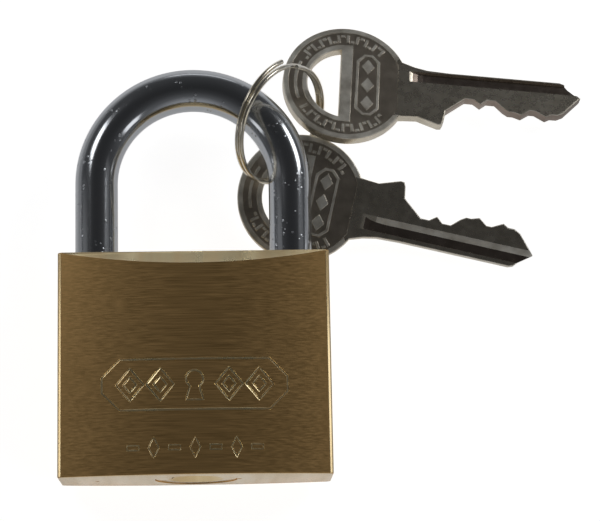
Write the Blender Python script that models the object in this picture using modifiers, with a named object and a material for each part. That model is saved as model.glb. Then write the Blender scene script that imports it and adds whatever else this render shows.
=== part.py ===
"""A 40 mm brass padlock: pin-tumbler plug, twin sliding latch bolts, sprung shackle, split ring and two keys.

Units are metres. The lock lies on its back: +X is across the body, +Y runs towards the shackle and +Z out of
the front face. The origin is the centre of the flat land on the back.
"""

import math

import bmesh
import bpy
from mathutils import Euler, Matrix, Vector

MM = 0.001
GAP = 0.3 * MM  # between pieces that touch

# Body
BODY_WIDTH = 40 * MM
BODY_HEIGHT = 33.2 * MM
BODY_THICKNESS = 15 * MM
FACE_BULGE = 2.1 * MM  # how far each face stands proud at the middle
FACE_RADIUS = ((BODY_WIDTH / 2) ** 2 + FACE_BULGE**2) / (2 * FACE_BULGE)
LAND_DEPTH = 0.19 * MM  # cut off the back's crown, to leave a flat land
LAND_HALF_WIDTH = math.sqrt(FACE_RADIUS**2 - (FACE_RADIUS - LAND_DEPTH) ** 2)
EDGE_BEVEL = 0.5 * MM
CROWN_DROP = 2.16 * MM  # depth of the crescent at the top of each face
TOP_Y = BODY_HEIGHT / 2
BOTTOM_Y = -BODY_HEIGHT / 2
MID_Z = BODY_THICKNESS / 2
SIDE_FRONT_Z = BODY_THICKNESS - FACE_BULGE
SIDE_BACK_Z = FACE_BULGE - LAND_DEPTH

# Shackle
SHACKLE_R = 3.2 * MM
LEG_X = 14.55 * MM
ARCH_Y = 28.1 * MM
TOE_END_Y = 7.0 * MM
HEEL_END_Y = -10.4 * MM
LIFT = 10 * MM
LEG_BORE_R = 3.45 * MM
HEEL_BORE_END_Y = -15.0 * MM
TOE_BORE_END_Y = 6.4 * MM
NECK_R = 2.1 * MM
RETAINING_PIN_R = 0.75 * MM
RETAINING_PIN_Y = 2.5 * MM
NOTCH_DEPTH = 1.3 * MM
SHACKLE_SPRING_R = 2.5 * MM

# Latch bolts and the cam that drives them
BOLT_Y = 12.2 * MM
BOLT_R = 2.0 * MM
BOLT_BORE_R = 2.15 * MM
BOLT_TRAVEL = 5.5 * MM
BOLT_ENGAGEMENT = 1.0 * MM
BOLT_NOSE = 2.0 * MM  # full round length; the rest is half round
BOLT_SPLIT = 0.25 * MM  # half the gap between the two half-round tails
LOST_LIFT = 2.1 * MM  # free lift in the notch while the bolts draw back
CRANK_R = BOLT_TRAVEL / math.sqrt(2)
CRANK_PIN_R = 0.8 * MM
CRANK_SLOT = 1.9 * MM
FORK_WIDTH = 3.6 * MM
FORK_REACH = 3.6 * MM
CAM_R = 5.7 * MM
CAM_Y = (6.5 * MM, 8.3 * MM)

# Plug
PLUG_R = 5.95 * MM
PLUG_BORE_R = 6.05 * MM
PLUG_FACE_Y = BOTTOM_Y + 0.1 * MM
PLUG_END_Y = 6.2 * MM
CHAMBER_END_Y = 14.6 * MM
KEYWAY_END_Y = 5.0 * MM
KEYWAY_Z = 2.5 * MM
KEYWAY_X = (-3.6 * MM, 3.1 * MM)
FUNNEL_R = 4.3 * MM
FUNNEL_FLOOR_R = 2.7 * MM
FUNNEL_DEPTH = 0.9 * MM
TONGUE = (6.0 * MM, 1.0 * MM, 2.0 * MM)  # its length, height and width
TONGUE_FIT = 0.15 * MM  # clearance on each side in the cam's slot
CLIP_Y = 4.3 * MM
CLIP_R = (5.4 * MM, 6.3 * MM)
CLIP_THICKNESS = 0.6 * MM
CLIP_GROOVE_WIDTH = 1.0 * MM
CLIP_GROOVE_R = (5.2 * MM, 6.5 * MM)  # its floors in the plug and in the body

# Pin stacks
PIN_COUNT = 5
PIN_PITCH = 3.3 * MM
PIN_BORE_R = 1.35 * MM
PIN_R = 1.15 * MM
PIN_TIP = 0.6 * MM
PIN_BEVEL = 0.2 * MM
SHEAR_X = (5.7 * MM, 6.15 * MM)  # where the key pins end and the driver pins start
DRIVER_LENGTH = 3.0 * MM
PIN_SPRING_WIRE_R = 0.16 * MM
CHAMBER_PLUG_FIT = 0.08 * MM
CHAMBER_PLUG_LENGTH = 2.0 * MM

# Keys: the bow's centre is the origin, +X runs to the tip and +Y to the blade's back
BOW_R = 9.75 * MM
KEY_THICKNESS = 1.9 * MM
KEY_SHOULDER_X = 15.3 * MM
BLADE_BACK = 3.35  # in millimetres, as the cuts below are
KEYRING_HOLE_R = 5.95 * MM
KEYRING_HOLE_FLAT_X = -0.5 * MM
# Each cut in millimetres: where its floor starts and ends along the blade, and how far it lies from the axis
KEY_CUTS = (
    (18.6, 19.9, -0.95),
    (22.0, 23.3, -0.9),
    (25.4, 26.2, -2.6),
    (28.7, 29.5, -2.05),
    (32.0, 33.0, -2.5),
)
KEY_PEAKS = ((21.0, -1.75), (24.6, -2.1), (27.4, -3.0), (31.2, -2.95))
FIRST_CUT_X = 19.2 * MM
GROOVE_DEPTH = 0.55 * MM
GROOVE_START_X = 11.5 * MM
GROOVES = ((1, 1.0, 2.3), (-1, -0.45, 0.75))  # which side of the blade, and from where to where across it

# Split ring
RING_R = 9.1 * MM
RING_WIRE_R = 0.36 * MM
RING_TURN_PITCH = 0.78 * MM
RING_CENTRE = Vector((13.25 * MM, 37.0 * MM, 8.65 * MM))
RING_HEADING = math.radians(59)
RING_TILT = math.radians(59)

parts = None
cutters = None


def clear_scene():
    for obj in list(bpy.data.objects):
        bpy.data.objects.remove(obj)


def new_collection(name):
    collection = bpy.data.collections.new(name)
    bpy.context.scene.collection.children.link(collection)
    return collection


def material(name, colour, roughness, metallic):
    made = bpy.data.materials.new(name)
    made.use_nodes = True
    shader = made.node_tree.nodes["Principled BSDF"]
    shader.inputs["Base Color"].default_value = (*colour, 1)
    shader.inputs["Roughness"].default_value = roughness
    shader.inputs["Metallic"].default_value = metallic
    return made


def finish(obj, finish_material):
    """Gives a piece its material, and smooth shading on its round faces."""
    obj.data.materials.clear()
    obj.data.materials.append(finish_material)
    obj.data.shade_smooth()
    obj.data.set_sharp_from_angle(angle=math.radians(35))
    return obj


def place(name, mesh, collection):
    obj = bpy.data.objects.new(name, mesh)
    collection.objects.link(obj)
    if collection is cutters:
        obj.hide_render = True
        obj.display_type = "WIRE"
    return obj


def box(name, low, high, collection=None):
    """A box between two corners."""
    low = Vector(low)
    high = Vector(high)
    shape = bmesh.new()
    bmesh.ops.create_cube(shape, size=1, matrix=Matrix.Diagonal((*(high - low), 1)))
    mesh = bpy.data.meshes.new(name)
    shape.to_mesh(mesh)
    shape.free()
    obj = place(name, mesh, collection or cutters)
    obj.location = (low + high) / 2
    return obj


def rod(name, start, end, radius, collection=None, segments=24, end_radius=None):
    """A cylinder or a cone between two points."""
    start = Vector(start)
    end = Vector(end)
    shape = bmesh.new()
    bmesh.ops.create_cone(
        shape,
        cap_ends=True,
        segments=segments,
        radius1=radius,
        radius2=radius if end_radius is None else end_radius,
        depth=(end - start).length,
    )
    mesh = bpy.data.meshes.new(name)
    shape.to_mesh(mesh)
    shape.free()
    obj = place(name, mesh, collection or cutters)
    obj.rotation_mode = "QUATERNION"
    obj.rotation_quaternion = (end - start).to_track_quat("Z", "Y")
    obj.location = (start + end) / 2
    return obj


def mesh_of_curve(curve):
    """The curve as a closed mesh object, in place of the curve."""
    bpy.context.view_layer.update()
    graph = bpy.context.evaluated_depsgraph_get()
    mesh = bpy.data.meshes.new_from_object(curve.evaluated_get(graph))
    shape = bmesh.new()
    shape.from_mesh(mesh)
    bmesh.ops.remove_doubles(shape, verts=shape.verts, dist=0.001 * MM)
    bmesh.ops.recalc_face_normals(shape, faces=shape.faces)
    shape.to_mesh(mesh)
    shape.free()
    name = curve.name
    matrix = curve.matrix_world.copy()
    collection = curve.users_collection[0]
    bpy.data.objects.remove(curve)
    obj = place(name, mesh, collection)
    obj.matrix_world = matrix
    return obj


def spline(data, points, cyclic):
    line = data.splines.new("POLY")
    line.points.add(len(points) - 1)
    for point, place_at in zip(line.points, points):
        point.co = (*place_at, 1)
    line.use_cyclic_u = cyclic


def plate(name, outlines, thickness, collection=None):
    """A flat plate from closed 2D outlines, the first one the edge and the others holes in it."""
    data = bpy.data.curves.new(name, "CURVE")
    data.dimensions = "2D"
    data.fill_mode = "BOTH"
    data.extrude = thickness / 2
    for outline in outlines:
        spline(data, [(x, y, 0) for x, y in outline], True)
    curve = bpy.data.objects.new(name, data)
    (collection or cutters).objects.link(curve)
    return mesh_of_curve(curve)


def wire(name, points, radius, collection=None, resolution=2):
    """A round wire through the points."""
    data = bpy.data.curves.new(name, "CURVE")
    data.dimensions = "3D"
    data.bevel_depth = radius
    data.bevel_resolution = resolution
    data.use_fill_caps = True
    spline(data, points, False)
    curve = bpy.data.objects.new(name, data)
    (collection or cutters).objects.link(curve)
    return mesh_of_curve(curve)


def boolean(obj, other, operation):
    modifier = obj.modifiers.new(other.name, "BOOLEAN")
    modifier.operation = operation
    modifier.object = other


def cut(obj, *others):
    for other in others:
        boolean(obj, other, "DIFFERENCE")


def unite(obj, *others):
    for other in others:
        boolean(obj, other, "UNION")


def turned(name, profile, collection=None, segments=20):
    """A turned shape: the profile is (radius, height) pairs, from the top of the axis down its outer side."""
    mesh = bpy.data.meshes.new(name)
    points = [(radius, 0, height) for radius, height in profile]
    mesh.from_pydata(points, [(i, i + 1) for i in range(len(points) - 1)], [])
    obj = place(name, mesh, collection or cutters)
    screw = obj.modifiers.new("turn", "SCREW")
    screw.axis = "Z"
    screw.steps = segments
    screw.render_steps = segments
    screw.use_merge_vertices = True
    screw.merge_threshold = 0.001 * MM
    return obj


def arc(centre, radius, start, end, steps):
    """Points along an arc, with the angles in degrees."""
    angles = [math.radians(start + (end - start) * i / steps) for i in range(steps + 1)]
    return [(centre[0] + radius * math.cos(a), centre[1] + radius * math.sin(a)) for a in angles]


def helix(centre, axis, radius, length, turns, steps_per_turn, phase=0.0):
    """Points along a helix whose first point is at the start of the axis."""
    axis = Vector(axis).normalized()
    side = axis.orthogonal().normalized()
    other = axis.cross(side)
    count = round(turns * steps_per_turn)
    points = []
    for i in range(count + 1):
        angle = phase + 2 * math.pi * i / steps_per_turn
        along = length * i / count
        outward = math.cos(angle) * side + math.sin(angle) * other
        points.append(Vector(centre) + along * axis + radius * outward)
    return points


def face_height(x):
    """How far a bulged face stands proud of the body's side at x."""
    return math.sqrt(FACE_RADIUS**2 - x**2) - (FACE_RADIUS - FACE_BULGE)


def body_blank():
    """The body's lens section, extruded along Y."""
    half = BODY_WIDTH / 2
    inner = half - EDGE_BEVEL
    steps = 16
    across = [inner * (2 * i / steps - 1) for i in range(steps + 1)]
    front = [(x, SIDE_FRONT_Z + face_height(x)) for x in across]
    steps = 6
    beside = [inner + (LAND_HALF_WIDTH - inner) * i / steps for i in range(steps + 1)]
    back_right = [(x, max(0.0, SIDE_BACK_Z - face_height(x))) for x in beside]
    back = back_right + [(-x, z) for x, z in reversed(back_right)]
    right = [(half, SIDE_FRONT_Z - EDGE_BEVEL), (half, SIDE_BACK_Z + EDGE_BEVEL)]
    left = [(-x, z) for x, z in reversed(right)]
    blank = plate("body", [front + right + back + left], BODY_HEIGHT, parts)
    blank.rotation_euler = (math.radians(90), 0, 0)
    return blank


def crescent_cutter(name, side_z, face_z):
    """A block that slopes off the top of one face, up to CROWN_DROP deep in the middle."""
    run = face_z - side_z
    angle = math.atan2(run, CROWN_DROP)
    size = 8 * MM
    cutter = box(name, (-BODY_WIDTH, -size, 0), (BODY_WIDTH, size, size))
    tilt = -angle if run > 0 else math.pi - angle
    cutter.rotation_euler = (tilt, 0, 0)
    out = Vector((0, abs(run), math.copysign(CROWN_DROP, run))).normalized()
    cutter.location = Vector((0, TOP_Y, side_z)) + out * size / 2
    return cutter


def pin_y(index):
    return PLUG_FACE_Y + FIRST_CUT_X - KEY_SHOULDER_X + index * PIN_PITCH


def make_body(brass):
    body = body_blank()
    cut(body, crescent_cutter("cut_crown_front", SIDE_FRONT_Z, BODY_THICKNESS))
    cut(body, crescent_cutter("cut_crown_back", SIDE_BACK_Z, -LAND_DEPTH))
    over = TOP_Y + 1 * MM
    cut(
        body,
        rod("cut_heel_bore", (-LEG_X, HEEL_BORE_END_Y, MID_Z), (-LEG_X, over, MID_Z), LEG_BORE_R),
        rod("cut_toe_bore", (LEG_X, TOE_BORE_END_Y, MID_Z), (LEG_X, over, MID_Z), LEG_BORE_R),
        rod(
            "cut_plug_bore",
            (0, BOTTOM_Y - 1 * MM, MID_Z),
            (0, CHAMBER_END_Y, MID_Z),
            PLUG_BORE_R,
            segments=40,
        ),
        rod(
            "cut_clip_groove",
            (0, CLIP_Y - CLIP_GROOVE_WIDTH / 2, MID_Z),
            (0, CLIP_Y + CLIP_GROOVE_WIDTH / 2, MID_Z),
            CLIP_GROOVE_R[1],
            segments=40,
        ),
        rod("cut_bolt_bore", (-LEG_X, BOLT_Y, MID_Z), (LEG_X, BOLT_Y, MID_Z), BOLT_BORE_R),
        rod(
            "cut_retaining_pin",
            (-BODY_WIDTH, RETAINING_PIN_Y, MID_Z),
            (-LEG_X, RETAINING_PIN_Y, MID_Z),
            RETAINING_PIN_R + 0.1 * MM,
            segments=16,
        ),
    )
    for i in range(PIN_COUNT):
        start = (PLUG_R / 2, pin_y(i), MID_Z)
        end = (BODY_WIDTH, pin_y(i), MID_Z)
        cut(body, rod(f"cut_pin_bore_{i + 1}", start, end, PIN_BORE_R, segments=16))
    return finish(body, brass)


def make_shackle(steel):
    """One bent rod: the heel leg is long, necked and held by a pin, and the toe leg is short."""
    arch = [(x, y, MID_Z) for x, y in arc((0, ARCH_Y), LEG_X, 0, 180, 24)]
    toe = (LEG_X, TOE_END_Y, MID_Z)
    heel = (-LEG_X, HEEL_END_Y, MID_Z)
    shackle = wire("shackle", [toe, *arch, heel], SHACKLE_R, parts, resolution=4)
    neck_low = RETAINING_PIN_Y - LIFT - RETAINING_PIN_R - GAP
    neck_high = RETAINING_PIN_Y + RETAINING_PIN_R + GAP
    neck = rod("cut_neck", (-LEG_X, neck_low, MID_Z), (-LEG_X, neck_high, MID_Z), 2 * SHACKLE_R, segments=24)
    core = rod("core_neck", (-LEG_X, neck_low - MM, MID_Z), (-LEG_X, neck_high + MM, MID_Z), NECK_R)
    cut(neck, core)
    cut(shackle, neck)
    notch_low = BOLT_Y - BOLT_R - LOST_LIFT
    notch_high = BOLT_Y + BOLT_R + GAP
    inner = LEG_X - SHACKLE_R
    for side, name in ((-1, "cut_heel_notch"), (1, "cut_toe_notch")):
        ends = sorted((side * (inner + NOTCH_DEPTH), side * (inner - MM)))
        notch = box(name, (ends[0], notch_low, 0), (ends[1], notch_high, BODY_THICKNESS))
        cut(shackle, notch)
    return finish(shackle, steel)


def make_shackle_hardware(steel, spring_steel):
    wire_r = 0.35 * MM
    start = HEEL_BORE_END_Y + GAP + wire_r
    end = HEEL_END_Y - GAP - wire_r
    turns = 4
    points = helix((-LEG_X, start, MID_Z), (0, 1, 0), SHACKLE_SPRING_R, end - start, turns, 10)
    finish(wire("shackle_spring", points, wire_r, parts, resolution=1), spring_steel)
    pin_end = -LEG_X - NECK_R - 0.2 * MM
    pin = rod(
        "shackle_retaining_pin",
        (-BODY_WIDTH / 2 + 0.1 * MM, RETAINING_PIN_Y, MID_Z),
        (pin_end, RETAINING_PIN_Y, MID_Z),
        RETAINING_PIN_R,
        parts,
        segments=16,
    )
    finish(pin, steel)


def make_plug(brass):
    """The cylinder plug, with its keyway, pin holes, a clip groove and a tongue that drives the cam."""
    plug = rod("plug", (0, PLUG_FACE_Y, MID_Z), (0, PLUG_END_Y, MID_Z), PLUG_R, parts, segments=40)
    length, height, width = TONGUE
    tongue = box(
        "add_tongue",
        (-length / 2, PLUG_END_Y - MM, MID_Z - width / 2),
        (length / 2, PLUG_END_Y + height, MID_Z + width / 2),
    )
    unite(plug, tongue)
    keyway = box(
        "cut_keyway",
        (KEYWAY_X[0], PLUG_FACE_Y - MM, MID_Z - KEYWAY_Z / 2),
        (KEYWAY_X[1], KEYWAY_END_Y, MID_Z + KEYWAY_Z / 2),
    )
    funnel = rod(
        "cut_funnel",
        (0, PLUG_FACE_Y - 0.1 * MM, MID_Z),
        (0, PLUG_FACE_Y + FUNNEL_DEPTH, MID_Z),
        FUNNEL_R,
        end_radius=FUNNEL_FLOOR_R,
    )
    groove_low = (0, CLIP_Y - CLIP_GROOVE_WIDTH / 2, MID_Z)
    groove_high = (0, CLIP_Y + CLIP_GROOVE_WIDTH / 2, MID_Z)
    groove = rod("cut_plug_groove", groove_low, groove_high, 2 * PLUG_R)
    core = rod(
        "core_plug_groove",
        (0, CLIP_Y - CLIP_GROOVE_WIDTH, MID_Z),
        (0, CLIP_Y + CLIP_GROOVE_WIDTH, MID_Z),
        CLIP_GROOVE_R[0],
        segments=40,
    )
    cut(groove, core)
    cut(plug, keyway, funnel, groove)
    for i in range(PIN_COUNT):
        start = (0, pin_y(i), MID_Z)
        end = (2 * PLUG_R, pin_y(i), MID_Z)
        cut(plug, rod(f"cut_plug_pin_{i + 1}", start, end, PIN_BORE_R, segments=16))
    return finish(plug, brass)


def make_clip(spring_steel):
    """An open snap ring, half in the plug's groove and half in the body's."""
    inner, outer = CLIP_R
    edge = arc((0, 0), outer, -155, 155, 24) + arc((0, 0), inner, 155, -155, 24)
    clip = plate("plug_clip", [edge], CLIP_THICKNESS, parts)
    clip.rotation_euler = (math.radians(90), 0, 0)
    clip.location = (0, CLIP_Y, MID_Z)
    return finish(clip, spring_steel)


def make_cam(steel):
    """The disc on the plug's tongue, with a crank pin for each bolt."""
    cam = rod("driver_cam", (0, CAM_Y[0], MID_Z), (0, CAM_Y[1], MID_Z), CAM_R, parts, segments=32)
    length, height, width = TONGUE
    half_length = length / 2 + TONGUE_FIT
    half_width = width / 2 + TONGUE_FIT
    slot_end = PLUG_END_Y + height + 1.5 * TONGUE_FIT
    slot = box(
        "cut_cam_slot",
        (-half_length, CAM_Y[0] - MM, MID_Z - half_width),
        (half_length, slot_end, MID_Z + half_width),
    )
    cut(cam, slot)
    for side, name in ((-1, "add_crank_left"), (1, "add_crank_right")):
        # The left pin stands in front of the axis and the right one behind it, each 45 degrees off centre.
        x = side * CRANK_R * math.sin(math.radians(45))
        z = MID_Z - side * CRANK_R * math.cos(math.radians(45))
        start = (x, CAM_Y[1] - 0.5 * MM, z)
        end = (x, BOLT_Y + 0.2 * MM, z)
        unite(cam, rod(name, start, end, CRANK_PIN_R, segments=16))
    return finish(cam, steel)


def make_bolt(name, side, steel):
    """A latch bolt: a round nose, a half-round tail and a fork round its crank pin."""

    def across(x):
        return side * x

    nose_x = LEG_X - SHACKLE_R + BOLT_ENGAGEMENT
    crank_x = CRANK_R * math.sin(math.radians(45))
    tail_x = crank_x - FORK_WIDTH / 2
    start = (across(nose_x), BOLT_Y, MID_Z)
    end = (across(tail_x), BOLT_Y, MID_Z)
    bolt = rod(name, start, end, BOLT_R, parts)
    depth = 2 * BOLT_R
    front = -side  # the left bolt's tail lies in front of the axis, the right one's behind it
    ends = sorted((across(nose_x - BOLT_NOSE), across(tail_x - MM)))
    depths = sorted((MID_Z + front * BOLT_SPLIT, MID_Z - front * depth))
    half = box(f"cut_{name}_half", (ends[0], BOLT_Y - depth, depths[0]), (ends[1], BOLT_Y + depth, depths[1]))
    cut(bolt, half)
    fork_ends = sorted((across(tail_x), across(tail_x + FORK_WIDTH)))
    fork_z = sorted((MID_Z + front * (BOLT_SPLIT + 0.1 * MM), MID_Z + front * FORK_REACH))
    fork = box(
        f"add_{name}_fork",
        (fork_ends[0], BOLT_Y - 1.7 * MM, fork_z[0]),
        (fork_ends[1], BOLT_Y + 0.3 * MM, fork_z[1]),
    )
    unite(bolt, fork)
    slot_ends = sorted((across(crank_x - CRANK_SLOT / 2), across(crank_x + CRANK_SLOT / 2)))
    slot_z = sorted((MID_Z + front * 1.7 * MM, MID_Z + front * 2 * depth))
    slot = box(
        f"cut_{name}_slot",
        (slot_ends[0], BOLT_Y - depth, slot_z[0]),
        (slot_ends[1], BOLT_Y + 0.6 * MM, slot_z[1]),
    )
    cut(bolt, slot)
    return finish(bolt, steel)


def cut_floor(index):
    """Where the key's cut holds a pin's tip, as an X position in the plug."""
    floor = KEY_CUTS[index][2] * MM
    return KEYWAY_X[0] + GAP + BLADE_BACK * MM - floor


def make_pin_stack(index, brass, steel, spring_steel):
    """A key pin in the plug, a driver pin in the body, their spring and the plug that closes the bore."""
    y = pin_y(index)
    number = index + 1
    length = SHEAR_X[0] - cut_floor(index)
    tip = PIN_TIP
    bevel = PIN_BEVEL
    key_pin = turned(
        f"key_pin_{number}",
        (
            (0, length),
            (PIN_R - bevel, length),
            (PIN_R, length - bevel),
            (PIN_R, tip),
            (PIN_R / 3, 0),
            (0, 0),
        ),
        parts,
        segments=16,
    )
    key_pin.rotation_euler = (0, math.radians(90), 0)
    key_pin.location = (cut_floor(index), y, MID_Z)
    finish(key_pin, brass)
    driver_x = SHEAR_X[1]
    driver = turned(
        f"driver_pin_{number}",
        (
            (0, DRIVER_LENGTH),
            (PIN_R - bevel, DRIVER_LENGTH),
            (PIN_R, DRIVER_LENGTH - bevel),
            (PIN_R, bevel),
            (PIN_R - bevel, 0),
            (0, 0),
        ),
        parts,
        segments=16,
    )
    driver.rotation_euler = (0, math.radians(90), 0)
    driver.location = (driver_x, y, MID_Z)
    finish(driver, steel)
    plug_start = BODY_WIDTH / 2 - 0.1 * MM - CHAMBER_PLUG_LENGTH
    spring_start = driver_x + DRIVER_LENGTH + 0.2 * MM
    wire_r = PIN_SPRING_WIRE_R
    spring_length = plug_start - 0.2 * MM - spring_start
    start = (spring_start + wire_r, y, MID_Z)
    turns = 6
    points = helix(start, (1, 0, 0), PIN_R - wire_r, spring_length - 2 * wire_r, turns, 8)
    finish(wire(f"pin_spring_{number}", points, wire_r, parts, resolution=0), spring_steel)
    closing = rod(
        f"chamber_plug_{number}",
        (plug_start, y, MID_Z),
        (plug_start + CHAMBER_PLUG_LENGTH, y, MID_Z),
        PIN_BORE_R - CHAMBER_PLUG_FIT,
        parts,
        segments=16,
    )
    finish(closing, brass)


def make_ring(spring_steel):
    """A split ring of two turns that passes round the shackle and through both keys."""
    normal = ring_normal()
    start = RING_CENTRE - normal * RING_TURN_PITCH
    points = helix(start, normal, RING_R, 2 * RING_TURN_PITCH, 1.97, 36, phase=ring_phase(normal))
    return finish(wire("key_ring", points, RING_WIRE_R, parts, resolution=2), spring_steel)


def ring_axes():
    """Two directions in the ring's plane: one level and one that climbs."""
    level = Vector((math.cos(RING_HEADING), math.sin(RING_HEADING), 0))
    uphill = Vector((-math.sin(RING_HEADING), math.cos(RING_HEADING), 0))
    climb = uphill * math.cos(RING_TILT) + Vector((0, 0, math.sin(RING_TILT)))
    return level, climb


def ring_normal():
    level, climb = ring_axes()
    return level.cross(climb).normalized()


def ring_phase(normal):
    """The phase that puts the wire's cut end at the top of the ring, away from the keys."""
    level, climb = ring_axes()
    top = (level * math.cos(math.radians(35)) + climb * math.sin(math.radians(35))).normalized()
    side = normal.orthogonal().normalized()
    other = normal.cross(side)
    return math.atan2(top.dot(other), top.dot(side))


def key_outline():
    """The key's edge, from the top of the bow round to the blade's back."""
    bow = arc((0, 0), BOW_R, 28, 329, 44)
    neck_low = [(9.6, -4.9), (11.2, -4.8), (14.4, -5.9), (15.3, -5.2)]
    blade = [(15.6, -3.4)]
    for i, (start, end, floor) in enumerate(KEY_CUTS):
        blade += [(start, floor), (end, floor)]
        if i < len(KEY_PEAKS):
            blade.append(KEY_PEAKS[i])
    tip = [(34.0, -2.0), (36.6, 0.9), (34.6, 2.4), (34.0, 3.1), (33.3, BLADE_BACK)]
    back = [(16.0, BLADE_BACK), (12.6, 3.5), (10.6, 3.9)]
    edge = [(x * MM, y * MM) for x, y in neck_low + blade + tip + back]
    return bow + edge


def keyring_hole():
    """A D-shaped hole: an arc inside the bow, closed by a straight side."""
    half_angle = math.degrees(math.acos(-KEYRING_HOLE_FLAT_X / KEYRING_HOLE_R)) - 4
    return arc((0, 0), KEYRING_HOLE_R, 180 - half_angle, 180 + half_angle, 16)


def make_key(name, nickel):
    key = plate(name, [key_outline(), keyring_hole()], KEY_THICKNESS, parts)
    for side, low, high in GROOVES:
        top = side * (KEY_THICKNESS / 2 + MM)
        floor = side * (KEY_THICKNESS / 2 - GROOVE_DEPTH)
        depths = sorted((top, floor))
        start = (GROOVE_START_X, low * MM, depths[0])
        end = (BODY_WIDTH, high * MM, depths[1])
        groove = box(f"cut_{name}_groove_{side}", start, end)
        groove.parent = key
        cut(key, groove)
    return finish(key, nickel)


def lay_key(key, bow_centre, heading, tip_drop, roll, flipped):
    """Lays a key down: heading turns it on the floor, and roll raises one side of its bow."""
    turn = Euler((roll, tip_drop, heading), "XYZ").to_matrix().to_4x4()
    flip = Matrix.Rotation(math.pi, 4, "X") if flipped else Matrix.Identity(4)
    key.matrix_world = Matrix.Translation(bow_centre) @ turn @ flip


def main():
    global parts, cutters
    clear_scene()
    parts = new_collection("padlock")
    cutters = new_collection("cutters")
    brass = material("brushed_brass", (0.62, 0.47, 0.20), 0.35, 1.0)
    steel = material("chromed_steel", (0.75, 0.76, 0.78), 0.08, 1.0)
    hardened = material("zinc_plated_steel", (0.55, 0.55, 0.56), 0.35, 1.0)
    spring_steel = material("spring_steel", (0.62, 0.60, 0.55), 0.25, 1.0)
    nickel = material("nickel_plate", (0.52, 0.49, 0.44), 0.25, 1.0)
    make_body(brass)
    make_shackle(steel)
    make_shackle_hardware(hardened, spring_steel)
    make_plug(brass)
    make_clip(spring_steel)
    make_cam(hardened)
    make_bolt("latch_bolt_left", -1, hardened)
    make_bolt("latch_bolt_right", 1, hardened)
    for index in range(PIN_COUNT):
        make_pin_stack(index, brass, hardened, spring_steel)
    make_ring(spring_steel)
    key_1 = make_key("key_1", nickel)
    lay_key(
        key_1,
        (23.6 * MM, 44.4 * MM, 3.45 * MM),
        heading=math.radians(-5.1),
        tip_drop=math.radians(2.3),
        roll=math.radians(-13.5),
        flipped=False,
    )
    key_2 = make_key("key_2", nickel)
    lay_key(
        key_2,
        (16.4 * MM, 26.95 * MM, 2.1 * MM),
        heading=math.radians(-13.4),
        tip_drop=math.radians(1.2),
        roll=math.radians(6.4),
        flipped=True,
    )


main()
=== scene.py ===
"""The looks of the padlock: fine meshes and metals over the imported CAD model, one studio and one camera.

Lengths are metres in the row frame: +X across the body, +Y towards the shackle, +Z out of the front
face. The keys, the engraved lines and the chamfer are drawn in millimetres and scaled by MM.
"""

import math

import bmesh
import bpy
from mathutils import Euler, Matrix, Vector


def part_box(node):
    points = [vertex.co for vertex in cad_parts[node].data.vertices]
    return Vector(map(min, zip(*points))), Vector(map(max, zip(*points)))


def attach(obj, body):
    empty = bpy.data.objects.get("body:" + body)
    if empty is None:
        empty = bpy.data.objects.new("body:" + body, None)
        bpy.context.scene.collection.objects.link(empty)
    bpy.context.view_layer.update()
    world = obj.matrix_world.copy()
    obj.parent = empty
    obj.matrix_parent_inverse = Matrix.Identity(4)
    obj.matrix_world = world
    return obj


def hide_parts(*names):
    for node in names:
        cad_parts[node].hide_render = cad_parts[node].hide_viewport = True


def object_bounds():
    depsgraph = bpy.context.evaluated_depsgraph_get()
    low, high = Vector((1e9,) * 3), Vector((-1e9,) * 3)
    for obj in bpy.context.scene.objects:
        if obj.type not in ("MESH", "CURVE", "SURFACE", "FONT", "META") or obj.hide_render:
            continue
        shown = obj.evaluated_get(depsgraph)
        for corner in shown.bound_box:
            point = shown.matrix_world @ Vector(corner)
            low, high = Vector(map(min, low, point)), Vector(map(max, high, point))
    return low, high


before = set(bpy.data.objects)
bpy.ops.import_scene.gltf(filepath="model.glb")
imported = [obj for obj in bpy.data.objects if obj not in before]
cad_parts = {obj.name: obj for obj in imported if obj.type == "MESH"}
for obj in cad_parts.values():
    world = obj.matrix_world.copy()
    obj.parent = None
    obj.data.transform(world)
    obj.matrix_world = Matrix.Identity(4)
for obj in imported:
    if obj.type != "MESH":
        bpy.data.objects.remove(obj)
cad_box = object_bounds()

MM = 0.001

# Sizes read from the frame
body_low, body_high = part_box("body")
shackle_low, shackle_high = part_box("shackle")
plug_low, plug_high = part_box("plug")
MID_Z = (shackle_low.z + shackle_high.z) / 2
SHACKLE_R = (shackle_high.z - shackle_low.z) / 2
LEG_X = shackle_high.x - SHACKLE_R
PLUG_R = (plug_high.z - plug_low.z) / 2

# The body's shape
HALF_WIDTH = body_high.x
TOP_Y = body_high.y
BOTTOM_Y = body_low.y
THICKNESS = body_high.z
BODY_EDGE = 0.14 * MM
FACE_BULGE = 2.1 * MM
FACE_RADIUS = (HALF_WIDTH**2 + FACE_BULGE**2) / (2 * FACE_BULGE)
FACE_STEPS = 96
LAND_DEPTH = 0.19 * MM
BACK_STEPS = 40
CROWN_DROP = 2.16 * MM
SIDE_FRONT_Z = THICKNESS - FACE_BULGE
SIDE_BACK_Z = FACE_BULGE - LAND_DEPTH

# The side edges' chamfer: millimetres across and away from the end of a face
CHAMFER = ((0.0, 0.0), (0.06, -0.02), (0.34, -0.28), (0.54, -0.52))
CHAMFER_REACH = 0.6 * MM

# The lines cut into the front face: their middles in millimetres, and where such faces can lie
CARTOUCHE_Y = -3.5
ROW_Y = -12.7
WIDE_LINE_R = 0.2 * MM
FINE_LINE_R = 0.15 * MM
LINE_STEP = 0.4
LINE_LIFT = 0.05
MARK_DEPTH = (0.01 * MM, 0.25 * MM)
MARK_HALF_WIDTH = 15 * MM
MARK_TOP_Y = 2 * MM

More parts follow.
